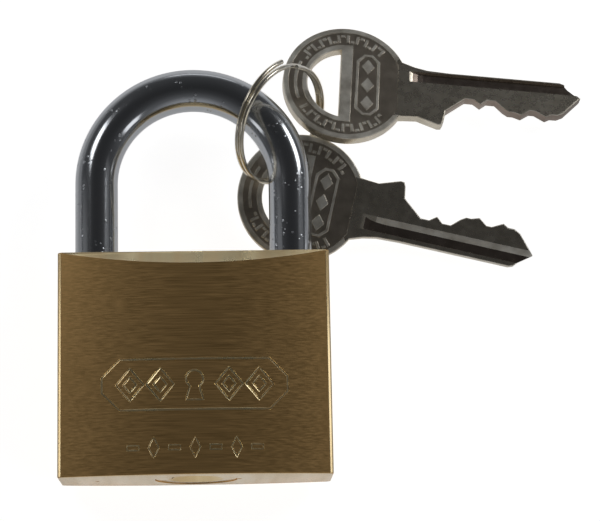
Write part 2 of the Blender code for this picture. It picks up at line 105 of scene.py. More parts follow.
# Holes in the body
LEG_BORE_R = 3.45 * MM
HEEL_BORE_END_Y = -15.0 * MM
TOE_BORE_END_Y = 6.4 * MM
PLUG_BORE_R = 6.05 * MM
CHAMBER_END_Y = 14.6 * MM
CLIP_Y = 4.3 * MM
CLIP_GROOVE_WIDTH = 1.0 * MM
CLIP_GROOVE_INNER_R = 5.2 * MM
CLIP_GROOVE_OUTER_R = 6.5 * MM
BOLT_Y = 12.2 * MM
BOLT_BORE_R = 2.15 * MM
PIN_COUNT = 5
PIN_BORE_R = 1.35 * MM
RETAINING_PIN_Y = 2.5 * MM
RETAINING_PIN_GAP = 0.1 * MM
DIMPLES = ((6.3 * MM, 7.9 * MM, 0.4 * MM), (-14.5 * MM, 7.0 * MM, 0.3 * MM))

# The shackle
ARCH_Y = 28.1 * MM
TOE_END_Y = 7.0 * MM
TOE_ROUND = 0.9 * MM
HEEL_END_Y = -10.4 * MM
NECK_R = 2.1 * MM
NECK_Y = (-8.55 * MM, 3.55 * MM)
NECK_EASE = 0.3 * MM
NOTCH_DEPTH = 1.3 * MM
NOTCH_Y = (8.1 * MM, 14.5 * MM)
SHACKLE_SEGMENTS = 96

# The plug and the small pins
PLUG_FACE_Y = plug_low.y
PLUG_END_Y = 6.2 * MM
PLUG_EDGE = 0.12 * MM
PIN_EDGE = 0.08 * MM
TONGUE_HALF_WIDTH = 3 * MM
KEYWAY_END_Y = 5.0 * MM
KEYWAY_Z = 2.5 * MM
KEYWAY_X = (-3.6 * MM, 3.1 * MM)
FUNNEL_R = 4.3 * MM
FUNNEL_FLOOR_R = 2.7 * MM
FUNNEL_DEPTH = 0.9 * MM

# Keys in their own frame, in millimetres: the bow's centre is the origin and +X runs to the tip
BOW_R = 9.75
KEY_THICKNESS = 1.9
KEY_EDGE = 0.22
RELIEF = 0.16
RELIEF_EDGE = 0.08
HOLE_R = 5.95
HOLE_FLAT_X = -0.5
KEY_CUTS = (
    (18.6, 19.9, -0.95),
    (22.0, 23.3, -0.9),
    (25.4, 26.2, -2.6),
    (28.7, 29.5, -2.05),
    (32.0, 33.0, -2.5),
)
KEY_PEAKS = ((21.0, -1.75), (24.6, -2.1), (27.4, -3.0), (31.2, -2.95))

# The milled grooves: side, low and high edge, and the run of the sloped wall; then the rise at the bow
GROOVES = ((1, 1.25, 3.05, 0.18), (-1, 0.3, 2.6, 0.9))
GROOVE_DEPTH = 0.55
GROOVE_WALL_RUN = 0.12
GROOVE_OVERSHOOT = 0.6
GROOVE_START = (
    (9.6, -0.06),
    (10.3, 0.22),
    (11.1, 0.40),
    (12.0, 0.50),
    (13.2, 0.55),
    (45.0, 0.55),
)

# The key-pattern band of the bows: its radii, and its pitch in degrees
BAND_R = (7.2, 8.5)
BAND_LINE = 0.35
BAND_PITCH = 10.5
BAND_START = 48
BAND_BARS = 26
BAND_GAP = (147, 206)

# Where the keys lie: bow centre in millimetres, then heading, tip drop and roll in degrees
KEY_1_PLACE = ((23.6, 44.4, 3.45), -5.1, 2.3, -13.5)
KEY_2_PLACE = ((16.4, 26.95, 2.1), -13.4, 1.2, 6.4)

# The finishes of a key's faces: worn blade, sunk field, a lighter finish on raised tops and groove walls
# that is partly rubbed wear and partly painted highlight, and a darker one that paints shade into groove
# floors and cut walls
WORN, FIELD, RUBBED_AND_PAINTED_HIGHLIGHT, PAINTED_SHADE = range(4)

# The split ring
RING_R = 9.1 * MM
RING_WIRE_R = 0.36 * MM
RING_TURN_PITCH = 0.78 * MM
RING_TURNS = 1.97
RING_STEPS = 120
RING_START = math.radians(42)
RING_SPRUNG = 0.6 * MM
RING_SPRUNG_STEPS = 26
RING_CENTRE = Vector((13.25 * MM, 37.0 * MM, 8.65 * MM))
RING_HEADING = math.radians(59)
RING_TILT = math.radians(59)

# The floor: its glow near the lock and further out in reflections, and where the camera sees it
FLOOR_NEAR = 0.42
FLOOR_FAR = 0.12
FLOOR_SEEN = 0.89
FLOOR_FADE = (0.034, 0.056)
FLOOR_HALF_SIZE = 6.0
FLOOR_GAP = 0.02 * MM

# The world: brightness by height, and what is added low on the -Y and +Y sides
WORLD_SEEN = 0.9
WORLD_COLOUR = (0.97, 0.98, 1.0, 1)
SKY = ((0.0, 0.2), (0.06, 0.14), (0.2, 0.08), (0.6, 0.06), (0.85, 0.045), (1.0, 0.035))
NEAR_SIDE = ((0.0, 0.0), (0.4, 0.02), (0.73, 0.08), (0.87, 0.22), (0.96, 0.35))
FAR_SIDE = ((0.0, 0.0), (0.93, 0.0), (0.98, 0.12), (1.0, 0.22))

# Softboxes: name, direction from the lock, size and power
LIGHT_DISTANCE = 0.6
LIGHT_TARGET = Vector((0.01, 0.02, 0.005))
LIGHTS = (
    ("key_right", (0.72, 0.48, 0.5), (0.22, 0.18), 0.5),
    ("fill_left", (-0.58, 0.475, 0.66), (0.14, 0.2), 0.24),
    ("side_left", (-0.87, 0.16, 0.46), (0.08, 0.3), 0.012),
    ("side_right", (0.82, 0.16, 0.55), (0.1, 0.3), 0.009),
    ("low_back", (0.05, 0.99, 0.04), (0.3, 0.06), 0.045),
    ("front_right", (0.72, -0.45, 0.52), (0.16, 0.2), 0.15),
    ("front_left", (-0.765, -0.37, 0.52), (0.12, 0.16), 0.07),
    ("rim_left", (-0.99, 0.09, 0.06), (0.08, 0.1), 0.055),
    ("rim_right", (0.99, 0.09, 0.06), (0.08, 0.1), 0.036),
)

# The camera
CAMERA_PLACE = (0.00379, -0.05272, 0.33887)
CAMERA_TURN = (11.76, -1.86, -1.11)
CAMERA_LENS = 135.37


# ---------------------------------------------------------------- mesh tools


def new_object(name, data):
    obj = bpy.data.objects.new(name, data)
    bpy.context.scene.collection.objects.link(obj)
    return obj


def finished(name, shape):
    """An object made of a bmesh, which is freed."""
    mesh = bpy.data.meshes.new(name)
    shape.to_mesh(mesh)
    shape.free()
    return new_object(name, mesh)


def evaluated_mesh(obj):
    bpy.context.view_layer.update()
    graph = bpy.context.evaluated_depsgraph_get()
    return bpy.data.meshes.new_from_object(obj.evaluated_get(graph))


def baked(obj):
    """The object as a plain mesh, with its caps welded and its place in its vertices."""
    mesh = evaluated_mesh(obj)
    shape = bmesh.new()
    shape.from_mesh(mesh)
    bmesh.ops.remove_doubles(shape, verts=shape.verts, dist=0.0005 * MM)
    bmesh.ops.recalc_face_normals(shape, faces=shape.faces)
    shape.to_mesh(mesh)
    shape.free()
    mesh.transform(obj.matrix_world)
    name = obj.name
    bpy.data.objects.remove(obj)
    return new_object(name, mesh)


def boolean(obj, other, operation="DIFFERENCE"):
    """Cuts with, or joins, another mesh, and removes that one."""
    modifier = obj.modifiers.new("boolean", "BOOLEAN")
    modifier.operation = operation
    modifier.solver = "EXACT"
    modifier.object = other
    mesh = evaluated_mesh(obj)
    obj.modifiers.clear()
    obj.data = mesh
    bpy.data.objects.remove(other)


def eased(obj, width):
    """The object with its sharp edges rounded."""
    edge = obj.modifiers.new("edge", "BEVEL")
    edge.width = width
    edge.segments = 3
    edge.limit_method = "ANGLE"
    edge.angle_limit = math.radians(60)
    return baked(obj)


def smooth(obj, angle):
    obj.data.shade_smooth()
    obj.data.set_sharp_from_angle(angle=math.radians(angle))


def rod(name, start, end, radius, segments, end_radius=None):
    """A cylinder or cone between two points."""
    start = Vector(start)
    end = Vector(end)
    turn = (end - start).to_track_quat("Z", "Y").to_matrix().to_4x4()
    shape = bmesh.new()
    bmesh.ops.create_cone(
        shape,
        cap_ends=True,
        segments=segments,
        radius1=radius,
        radius2=radius if end_radius is None else end_radius,
        depth=(end - start).length,
        matrix=Matrix.Translation((start + end) / 2) @ turn,
    )
    return finished(name, shape)


def box(name, low, high):
    low = Vector(low)
    high = Vector(high)
    matrix = Matrix.Translation((low + high) / 2) @ Matrix.Diagonal((*(high - low), 1))
    shape = bmesh.new()
    bmesh.ops.create_cube(shape, size=1, matrix=matrix)
    return finished(name, shape)


def loft(name, rings):
    """A closed solid through rings of as many points each."""
    shape = bmesh.new()
    rings = [[shape.verts.new(point) for point in ring] for ring in rings]
    for first, second in zip(rings, rings[1:]):
        for i in range(len(first)):
            j = (i + 1) % len(first)
            shape.faces.new((first[i], first[j], second[j], second[i]))
    shape.faces.new(rings[0][::-1])
    shape.faces.new(rings[-1])
    bmesh.ops.recalc_face_normals(shape, faces=shape.faces)
    return finished(name, shape)


def sweep(name, stations, normal, segments):
    """A round bar through (point, direction, radius) stations that lie in one plane."""
    angles = [2 * math.pi * i / segments for i in range(segments)]
    rings = []
    for point, direction, radius in stations:
        side = Vector(direction).cross(normal).normalized()
        around = [math.cos(angle) * side + math.sin(angle) * normal for angle in angles]
        rings.append([Vector(point) + radius * out for out in around])
    return loft(name, rings)


def curve_of(name, loops, cyclic, flat):
    data = bpy.data.curves.new(name, "CURVE")
    data.dimensions = "2D" if flat else "3D"
    for loop in loops:
        line = data.splines.new("POLY")
        line.points.add(len(loop) - 1)
        for point, place in zip(line.points, loop):
            point.co = (*place, 1)
        line.use_cyclic_u = cyclic
    return new_object(name, data)


def plate(name, outlines, thickness, edge):
    """A flat plate with rounded edges; the first outline is its edge and the rest are nested in it."""
    curve = curve_of(name, [[(x, y, 0) for x, y in line] for line in outlines], True, True)
    curve.data.fill_mode = "BOTH"
    curve.data.bevel_resolution = 3
    curve.data.bevel_depth = edge
    curve.data.offset = -edge
    curve.data.extrude = thickness / 2 - edge
    return baked(curve)


def tube(name, loops, radius, cyclic=True, resolution=4):
    """Round tubes along 3-D lines."""
    curve = curve_of(name, loops, cyclic, False)
    curve.data.bevel_depth = radius
    curve.data.bevel_resolution = resolution
    curve.data.use_fill_caps = not cyclic
    return baked(curve)


def arc(centre, radius, start, end, steps):
    """Points along an arc, with the angles in degrees."""
    angles = [math.radians(start + (end - start) * i / steps) for i in range(steps + 1)]
    return [(centre[0] + radius * math.cos(a), centre[1] + radius * math.sin(a)) for a in angles]


def lozenge(centre, half_width, half_height):
    x, y = centre
    return [(x + half_width, y), (x, y + half_height), (x - half_width, y), (x, y - half_height)]


def rectangle(centre, half_width, half_height):
    x, y = centre
    return [
        (x - half_width, y - half_height),
        (x + half_width, y - half_height),
        (x + half_width, y + half_height),
        (x - half_width, y + half_height),
    ]


def octagon(low, high, corner):
    """A rectangle with its corners cut off."""
    return [
        (low[0] + corner, low[1]),
        (high[0] - corner, low[1]),
        (high[0], low[1] + corner),
        (high[0], high[1] - corner),
        (high[0] - corner, high[1]),
        (low[0] + corner, high[1]),
        (low[0], high[1] - corner),
        (low[0], low[1] + corner),
    ]


def scaled(outline):
    return [(x * MM, y * MM) for x, y in outline]


def show(obj, body, slot, materials, *nodes):
    """Gives a finished piece its metals, its body and the CAD nodes that it stands for."""
    obj.data.materials.clear()
    for material in materials:
        obj.data.materials.append(material)
    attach(obj, body)
    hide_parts(*nodes)


# ---------------------------------------------------------------- materials


def metal(name, colour, roughness):
    made = bpy.data.materials.new(name)
    made.use_nodes = True
    tree = made.node_tree
    shader = tree.nodes["Principled BSDF"]
    shader.inputs["Base Color"].default_value = (*colour, 1)
    shader.inputs["Metallic"].default_value = 1.0
    shader.inputs["Roughness"].default_value = roughness
    return made, tree, shader


def noise(tree, scale, detail, stretch=(1, 1, 1)):
    """A noise over the piece's own coordinates, with its features stretched."""
    place = tree.nodes.new("ShaderNodeTexCoord")
    mapping = tree.nodes.new("ShaderNodeMapping")
    mapping.inputs["Scale"].default_value = stretch
    texture = tree.nodes.new("ShaderNodeTexNoise")
    texture.inputs["Scale"].default_value = scale
    texture.inputs["Detail"].default_value = detail
    tree.links.new(place.outputs["Object"], mapping.inputs["Vector"])
    tree.links.new(mapping.outputs["Vector"], texture.inputs["Vector"])
    return texture.outputs["Fac"]


def spread(tree, value, low, high, start=0.3, end=0.7):
    """The value, taken from start..end to low..high."""
    ranged = tree.nodes.new("ShaderNodeMapRange")
    ranged.inputs["From Min"].default_value = start
    ranged.inputs["From Max"].default_value = end
    ranged.inputs["To Min"].default_value = low
    ranged.inputs["To Max"].default_value = high
    tree.links.new(value, ranged.inputs["Value"])
    return ranged.outputs["Result"]


def calculation(tree, operation, first, second):
    """A Math node on two values, each a number or another node's output."""
    node = tree.nodes.new("ShaderNodeMath")
    node.operation = operation
    for value, socket in zip((first, second), node.inputs):
        if isinstance(value, float):
            socket.default_value = value
        else:
            tree.links.new(value, socket)
    return node.outputs[0]


def tint(tree, value, low, high):
    """A colour between two, by the value."""
    ramp = tree.nodes.new("ShaderNodeValToRGB")
    ramp.color_ramp.elements[0].position = 0.32
    ramp.color_ramp.elements[0].color = (*low, 1)
    ramp.color_ramp.elements[1].position = 0.68
    ramp.color_ramp.elements[1].color = (*high, 1)
    tree.links.new(value, ramp.inputs["Fac"])
    return ramp.outputs["Color"]


def grey_ramp(tree, value, stops):
    """A level between (position, level) stops, by the value."""
    ramp = tree.nodes.new("ShaderNodeValToRGB")
    elements = ramp.color_ramp.elements
    while len(elements) < len(stops):
        elements.new(0.5)
    for element, (place, level) in zip(elements, stops):
        element.position = place
        element.color = (level, level, level, 1)
    tree.links.new(value, ramp.inputs["Fac"])
    return ramp.outputs["Color"]


def bump(tree, shader, value, distance, strength):
    node = tree.nodes.new("ShaderNodeBump")
    node.inputs["Strength"].default_value = strength
    node.inputs["Distance"].default_value = distance
    tree.links.new(value, node.inputs["Height"])
    tree.links.new(node.outputs["Normal"], shader.inputs["Normal"])


def brushed_brass():
    """Satin brass with its grain along X."""
    made, tree, shader = metal("brushed_brass", (0.83, 0.52, 0.205), 0.4)
    grain = noise(tree, 1.0, 3.0, (100, 5600, 5600))
    broad = noise(tree, 1.0, 2.0, (60, 160, 160))
    fine_share = calculation(tree, "MULTIPLY", grain, 0.75)
    broad_share = calculation(tree, "MULTIPLY", broad, 0.25)
    both = calculation(tree, "ADD", fine_share, broad_share)
    colour = tint(tree, both, (0.73, 0.45, 0.17), (0.95, 0.605, 0.25))
    tree.links.new(colour, shader.inputs["Base Color"])
    tree.links.new(spread(tree, grain, 0.36, 0.46), shader.inputs["Roughness"])
    bump(tree, shader, grain, 0.008 * MM, 0.4)
    return made


def machined_brass(name, low, high, roughness):
    """Machined brass, with its streaks across X."""
    made, tree, shader = metal(name, high, roughness)
    streaks = noise(tree, 1.0, 2.0, (420, 40, 40))
    tree.links.new(tint(tree, streaks, low, high), shader.inputs["Base Color"])
    rough = spread(tree, streaks, roughness + 0.05, roughness - 0.05)
    tree.links.new(rough, shader.inputs["Roughness"])
    return made


def chrome():
    """Chrome plate with fine pits in patches, more of them low on the legs."""
    roughness = 0.15
    made, tree, shader = metal("chrome_plate", (0.50, 0.52, 0.55), roughness)
    cells = tree.nodes.new("ShaderNodeTexVoronoi")
    cells.inputs["Scale"].default_value = 1100
    place = tree.nodes.new("ShaderNodeTexCoord")
    tree.links.new(place.outputs["Object"], cells.inputs["Vector"])
    pits = spread(tree, cells.outputs["Distance"], 1.0, 0.0, 0.12, 0.26)
    split = tree.nodes.new("ShaderNodeSeparateXYZ")
    tree.links.new(place.outputs["Object"], split.inputs["Vector"])
    lower = spread(tree, split.outputs["Y"], 0.07, -0.06, 0.02, 0.044)
    patches = calculation(tree, "ADD", noise(tree, 320, 2.0), lower)
    here = spread(tree, patches, 0.0, 1.0, 0.5, 0.62)
    pitted = calculation(tree, "MULTIPLY", pits, here)
    rough = spread(tree, pitted, roughness, 0.5, 0.0, 1.0)
    tree.links.new(rough, shader.inputs["Roughness"])
    bump(tree, shader, pitted, 0.04 * MM, 0.8)
    return made


def nickel(name, low, high, roughness):
    """Nickel plate of a handled key, a little tarnished."""
    made, tree, shader = metal(name, high, roughness)
    tree.links.new(tint(tree, noise(tree, 420, 4.0), low, high), shader.inputs["Base Color"])
    rough = spread(tree, noise(tree, 900, 4.0), roughness - 0.03, roughness + 0.05)
    tree.links.new(rough, shader.inputs["Roughness"])
    bump(tree, shader, noise(tree, 3000, 3.0), 0.003 * MM, 0.3)
    return made


def ring_steel():
    made, tree, shader = metal("ring_steel", (0.8, 0.76, 0.68), 0.2)
    shade = tint(tree, noise(tree, 260, 2.0), (0.72, 0.64, 0.48), (0.88, 0.86, 0.80))
    tree.links.new(shade, shader.inputs["Base Color"])
    bump(tree, shader, noise(tree, 2400, 2.0), 0.004 * MM, 0.5)
    return made


def zinc_steel():
    made, tree, shader = metal("zinc_steel", (0.5, 0.5, 0.5), 0.35)
    shade = tint(tree, noise(tree, 800, 3.0), (0.42, 0.43, 0.44), (0.58, 0.58, 0.57))
    tree.links.new(shade, shader.inputs["Base Color"])
    tree.links.new(spread(tree, noise(tree, 1500, 3.0), 0.28, 0.45), shader.inputs["Roughness"])
    return made


def seen_directly(tree, direct, otherwise):
    """One level where the camera looks straight at it, and another in reflections and as light."""
    path = tree.nodes.new("ShaderNodeLightPath")
    mix = tree.nodes.new("ShaderNodeMix")
    mix.data_type = "FLOAT"
    mix.inputs["B"].default_value = direct
    tree.links.new(otherwise, mix.inputs["A"])
    tree.links.new(path.outputs["Is Camera Ray"], mix.inputs["Factor"])
    return mix.outputs["Result"]


def floor_white():
    """A pale matt floor that glows near the lock, is greyer further out in reflections, and looks white."""
    made = bpy.data.materials.new("floor_white")
    made.use_nodes = True
    tree = made.node_tree
    shader = tree.nodes["Principled BSDF"]
    shader.inputs["Base Color"].default_value = (0.7, 0.7, 0.7, 1)
    shader.inputs["Roughness"].default_value = 0.9
    shader.inputs["Specular IOR Level"].default_value = 0.0
    shader.inputs["Emission Color"].default_value = (1.0, 1.0, 1.0, 1)
    place = tree.nodes.new("ShaderNodeTexCoord")
    mapping = tree.nodes.new("ShaderNodeMapping")
    mapping.inputs["Location"].default_value = (-0.008, -0.0145, 0)
    mapping.inputs["Scale"].default_value = (1, 0.48, 1)
    away = tree.nodes.new("ShaderNodeVectorMath")
    away.operation = "LENGTH"
    tree.links.new(place.outputs["Object"], mapping.inputs["Vector"])
    tree.links.new(mapping.outputs["Vector"], away.inputs[0])
    reflected = spread(tree, away.outputs["Value"], FLOOR_NEAR, FLOOR_FAR, *FLOOR_FADE)
    glow = seen_directly(tree, FLOOR_SEEN, reflected)
    tree.links.new(glow, shader.inputs["Emission Strength"])
    return made


# ---------------------------------------------------------------- the body


def face_height(x):
    """How far a lens face stands out of its side edges' level."""
    return math.sqrt(FACE_RADIUS**2 - x**2) - (FACE_RADIUS - FACE_BULGE)


def front_z(x):
    return SIDE_FRONT_Z + face_height(x)


def chamfer(x, z, side):
    """The chamfer's points, from the end of the front (1) or back (-1) face out to the body's side."""
    return [(x + across * MM, z + side * away * MM) for across, away in CHAMFER]


def body_outline():
    """The body's lens section: X across, and Z as the second number."""
    inner = HALF_WIDTH - CHAMFER[-1][0] * MM
    across = [inner * (2 * i / FACE_STEPS - 1) for i in range(FACE_STEPS + 1)]
    front = [(x, front_z(x)) for x in across]
    land = math.sqrt(FACE_RADIUS**2 - (FACE_RADIUS - LAND_DEPTH) ** 2)
    beside = [inner + (land - inner) * i / BACK_STEPS for i in range(BACK_STEPS + 1)]
    back = [(x, max(0.0, SIDE_BACK_Z - face_height(x))) for x in beside]
    back += [(-x, z) for x, z in reversed(back)]
    right = chamfer(inner, front_z(inner), 1) + chamfer(inner, back[0][1], -1)[::-1]
    left = [(-x, z) for x, z in reversed(right)]
    return front[1:-1] + right + back[1:-1] + left


def slope_cutter(name, side_z, face_z):
    """A block that slopes off the top of one face."""
    run = face_z - side_z
    angle = math.atan2(run, CROWN_DROP)
    size = 8 * MM
    tilt = -angle if run > 0 else math.pi - angle
    out = Vector((0, abs(run), math.copysign(CROWN_DROP, run))).normalized()
    cutter = box(name, (-2 * HALF_WIDTH, -size, 0), (2 * HALF_WIDTH, size, size))
    cutter.data.transform(Matrix.Translation((0, 0, -size / 2)))
    place = Matrix.Translation(Vector((0, TOP_Y, side_z)) + out * size / 2)
    cutter.data.transform(place @ Matrix.Rotation(tilt, 4, "X"))
    return cutter


def on_face(outline):
    """The outline, in millimetres, laid on the front face in short steps."""
    points = []
    for (x0, y0), (x1, y1) in zip(outline, outline[1:] + outline[:1]):
        count = max(1, math.ceil(math.dist((x0, y0), (x1, y1)) / LINE_STEP))
        for i in range(count):
            x = (x0 + (x1 - x0) * i / count) * MM
            y = (y0 + (y1 - y0) * i / count) * MM
            points.append((x, y, front_z(x) + LINE_LIFT * MM))
    return points


def face_marks():
    """A plain cartouche with a keyhole between lozenges, and a row of small marks under it."""
    y = CARTOUCHE_Y
    keyhole = arc((0, y + 0.75), 1.25, -58, 238, 20) + [(-1.25, y - 2.3), (1.25, y - 2.3)]
    wide = [octagon((-13.5, y - 3.7), (13.5, y + 3.7), 2.6), keyhole]
    for x in (-9.4, -5.0, 5.0, 9.4):
        wide.append(lozenge((x, y), 2.0, 2.4))
        wide.append(lozenge((x, y), 0.95, 1.15))
    fine = []
    for i in range(7):
        place = ((i - 3) * 3.0, ROW_Y)
        fine.append(lozenge(place, 0.75, 1.5) if i % 2 else rectangle(place, 0.85, 0.35))
    return [
        tube("cut_wide", [on_face(line) for line in wide], WIDE_LINE_R),
        tube("cut_fine", [on_face(line) for line in fine], FINE_LINE_R),
    ]


def is_chamfer(face):
    at_edge = abs(face.center.x) > HALF_WIDTH - CHAMFER_REACH
    return at_edge and abs(face.normal.y) < 0.02 and 0.25 < abs(face.normal.x) < 0.97


def is_mark(face):
    """Whether the face lies in one of the lines cut into the front."""
    x, y, z = face.center
    depth = front_z(min(abs(x), HALF_WIDTH)) - z
    inside = abs(x) < MARK_HALF_WIDTH and BOTTOM_Y + MM < y < MARK_TOP_Y
    return inside and MARK_DEPTH[0] < depth < MARK_DEPTH[1]


def is_slope(face):
    """Whether the face is one of the slopes at the top."""
    near_top = face.center.y > TOP_Y - 1.1 * CROWN_DROP
    return near_top and face.normal.y > 0.5 and abs(face.normal.x) < 0.02


def true_normals(obj):
    """Shades both lens faces by their real curve, whatever was cut into them, and the chamfers flat."""
    mesh = obj.data
    normals = [corner.vector.copy() for corner in mesh.corner_normals]
    for face in mesh.polygons:
        if is_chamfer(face):
            for loop in face.loop_indices:
                normals[loop] = face.normal.copy()
        if abs(face.normal.z) < 0.97 or abs(face.normal.y) > 0.02:
            continue
        side = math.copysign(1, face.normal.z)
        for loop in face.loop_indices:
            place = mesh.vertices[mesh.loops[loop].vertex_index].co
            on_land = side < 0 and place.z < 0.001 * MM
            x = 0.0 if on_land else place.x
            normals[loop] = Vector((x, 0, side * math.sqrt(FACE_RADIUS**2 - x**2))).normalized()
    mesh.normals_split_custom_set(normals)


def pin_places():
    """The Y of each of the five closed pin bores, from the frame."""
    low_high = [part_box(f"chamber_plug_{i + 1}") for i in range(PIN_COUNT)]
    return [(low.y + high.y) / 2 for low, high in low_high]


def body_bores():
    """The name, ends, radius and segments of each bore."""
    over = TOP_Y + MM
    under = BOTTOM_Y - MM
    half = CLIP_GROOVE_WIDTH / 2
    pin_low, pin_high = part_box("shackle_retaining_pin")
    pin_bore_r = (pin_high.z - pin_low.z) / 2 + RETAINING_PIN_GAP
    outside = 2 * HALF_WIDTH
    bores = [
        ("heel", (-LEG_X, HEEL_BORE_END_Y), (-LEG_X, over), LEG_BORE_R, 96),
        ("toe", (LEG_X, TOE_BORE_END_Y), (LEG_X, over), LEG_BORE_R, 96),
        ("bore", (0, under), (0, CHAMBER_END_Y), PLUG_BORE_R, 128),
        ("groove", (0, CLIP_Y - half), (0, CLIP_Y + half), CLIP_GROOVE_OUTER_R, 96),
        ("bolts", (-LEG_X, BOLT_Y), (LEG_X, BOLT_Y), BOLT_BORE_R, 48),
        ("pin", (-outside, RETAINING_PIN_Y), (-LEG_X, RETAINING_PIN_Y), pin_bore_r, 48),
    ]
    return bores + [("stack", (PLUG_R / 2, y), (outside, y), PIN_BORE_R, 48) for y in pin_places()]


def make_body(brass, bright, slope_brass_painted_sheen):
    body = plate("brass_body", [body_outline()], body_high.y - body_low.y, BODY_EDGE)
    body.data.transform(Matrix.Rotation(math.radians(90), 4, "X"))
    boolean(body, slope_cutter("slope_front", SIDE_FRONT_Z, THICKNESS))
    boolean(body, slope_cutter("slope_back", SIDE_BACK_Z, -LAND_DEPTH))
    for name, start, end, radius, segments in body_bores():
        boolean(body, rod(name, (*start, MID_Z), (*end, MID_Z), radius, segments))
    for x, z, radius in DIMPLES:
        start = (x, BOTTOM_Y - 0.2 * MM, z)
        end = (x, BOTTOM_Y + 0.5 * MM, z)
        boolean(body, rod("dimple", start, end, radius * 1.4, 24, end_radius=radius * 0.2))
    for cutter in face_marks():
        boolean(body, cutter)
    smooth(body, 28)
    true_normals(body)
    show(body, "body", "brushed_brass", (brass, bright, slope_brass_painted_sheen), "body")
    # engraved lines and the top slopes take the lighter machined brass: painted highlight in the lines,
    # painted reflection on the slopes, over a real machined finish
    for face in body.data.polygons:
        if is_mark(face):
            face.material_index = 2
        elif abs(face.normal.y) > 0.9 or is_chamfer(face):
            face.material_index = 1
        elif is_slope(face):
            face.material_index = 2


# ---------------------------------------------------------------- the shackle and its ring


def make_shackle(steel):
    up = Vector((0, 1, 0))
    stations = []
    steps = 6
    for i in range(steps + 1):
        angle = math.pi / 2 * (1 - i / steps)
        y = TOE_END_Y + TOE_ROUND * (1 - math.sin(angle))
        stations.append(((LEG_X, y, MID_Z), up, SHACKLE_R - TOE_ROUND * (1 - math.cos(angle))))
    steps = 96
    for i in range(steps + 1):
        angle = math.pi * i / steps
        point = (LEG_X * math.cos(angle), ARCH_Y + LEG_X * math.sin(angle), MID_Z)
        stations.append((point, (-math.sin(angle), math.cos(angle), 0), SHACKLE_R))
    for y, radius in (
        (NECK_Y[1] + NECK_EASE, SHACKLE_R),
        (NECK_Y[1], NECK_R),
        (NECK_Y[0], NECK_R),
        (NECK_Y[0] - NECK_EASE, SHACKLE_R),
        (HEEL_END_Y + NECK_EASE, SHACKLE_R),
        (HEEL_END_Y, SHACKLE_R - NECK_EASE),
    ):
        stations.append(((-LEG_X, y, MID_Z), -up, radius))
    shackle = sweep("chromed_shackle", stations, Vector((0, 0, 1)), SHACKLE_SEGMENTS)
    inner = LEG_X - SHACKLE_R
    for side in (-1, 1):
        left, right = sorted((side * (inner + NOTCH_DEPTH), side * (inner - MM)))
        boolean(
            shackle,
            box("notch", (left, NOTCH_Y[0], -MM), (right, NOTCH_Y[1], THICKNESS + MM)),
        )
    smooth(shackle, 30)
    show(shackle, "shackle", "chrome_plate", (steel,), "shackle")


def ring_axes():
    level = Vector((math.cos(RING_HEADING), math.sin(RING_HEADING), 0))
    uphill = Vector((-math.sin(RING_HEADING), math.cos(RING_HEADING), 0))
    climb = uphill * math.cos(RING_TILT) + Vector((0, 0, math.sin(RING_TILT)))
    return level, climb


def make_ring(steel):
    """Two close turns of wire whose cut ends stand at the top, the outer one sprung open a little."""
    level, climb = ring_axes()
    normal = level.cross(climb).normalized()
    steps = round(RING_TURNS * RING_STEPS)
    length = 2 * RING_TURN_PITCH
    points = []
    for i in range(steps + 1):
        angle = RING_START + 2 * math.pi * RING_TURNS * i / steps
        along = normal * (length * i / steps - length / 2)
        radius = RING_R + RING_SPRUNG * max(0.0, 1 - i / RING_SPRUNG_STEPS) ** 2
        out = radius * (math.cos(angle) * level + math.sin(angle) * climb)
        points.append(RING_CENTRE + along + out)
    ring = tube("split_ring", [points], RING_WIRE_R, cyclic=False, resolution=8)
    smooth(ring, 40)
    show(ring, "key_ring", "ring_steel", (steel,), "key_ring")


# ---------------------------------------------------------------- the plug and the small round pieces


def make_plug(brass):
    plug = rod("cylinder_plug", (0, PLUG_FACE_Y, MID_Z), (0, PLUG_END_Y, MID_Z), PLUG_R, 128)
    low = (-TONGUE_HALF_WIDTH, PLUG_END_Y - MM, MID_Z - MM)
    high = (TONGUE_HALF_WIDTH, PLUG_END_Y + MM, MID_Z + MM)
    boolean(plug, box("tongue", low, high), "UNION")
    plug = eased(plug, PLUG_EDGE)
    half = CLIP_GROOVE_WIDTH / 2
    groove = rod("groove", (0, CLIP_Y - half, MID_Z), (0, CLIP_Y + half, MID_Z), 2 * PLUG_R, 64)
    core = rod("core", (0, CLIP_Y - MM, MID_Z), (0, CLIP_Y + MM, MID_Z), CLIP_GROOVE_INNER_R, 96)
    boolean(groove, core)
    boolean(plug, groove)
    low = (KEYWAY_X[0], PLUG_FACE_Y - MM, MID_Z - KEYWAY_Z / 2)
    high = (KEYWAY_X[1], KEYWAY_END_Y, MID_Z + KEYWAY_Z / 2)
    boolean(plug, box("keyway", low, high))
    face = (0, PLUG_FACE_Y - 0.1 * MM, MID_Z)
    floor = (0, PLUG_FACE_Y + FUNNEL_DEPTH, MID_Z)
    boolean(plug, rod("funnel", face, floor, FUNNEL_R, 96, end_radius=FUNNEL_FLOOR_R))
    for y in pin_places():
        boolean(plug, rod("stack", (0, y, MID_Z), (2 * PLUG_R, y, MID_Z), PIN_BORE_R, 48))
    smooth(plug, 32)
    show(plug, "plug", "plug_brass", (brass,), "plug")


def make_cross_pin(name, slot, material, node):
    """A fine round pin along X, with eased ends, in place of a CAD one in the body."""
    low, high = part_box(node)
    middle = (low + high) / 2
    start = (low.x, middle.y, middle.z)
    end = (high.x, middle.y, middle.z)
    pin = eased(rod(name, start, end, (high.z - low.z) / 2, 48), PIN_EDGE)
    smooth(pin, 40)
    show(pin, "body", slot, (material,), node)


# ---------------------------------------------------------------- the keys


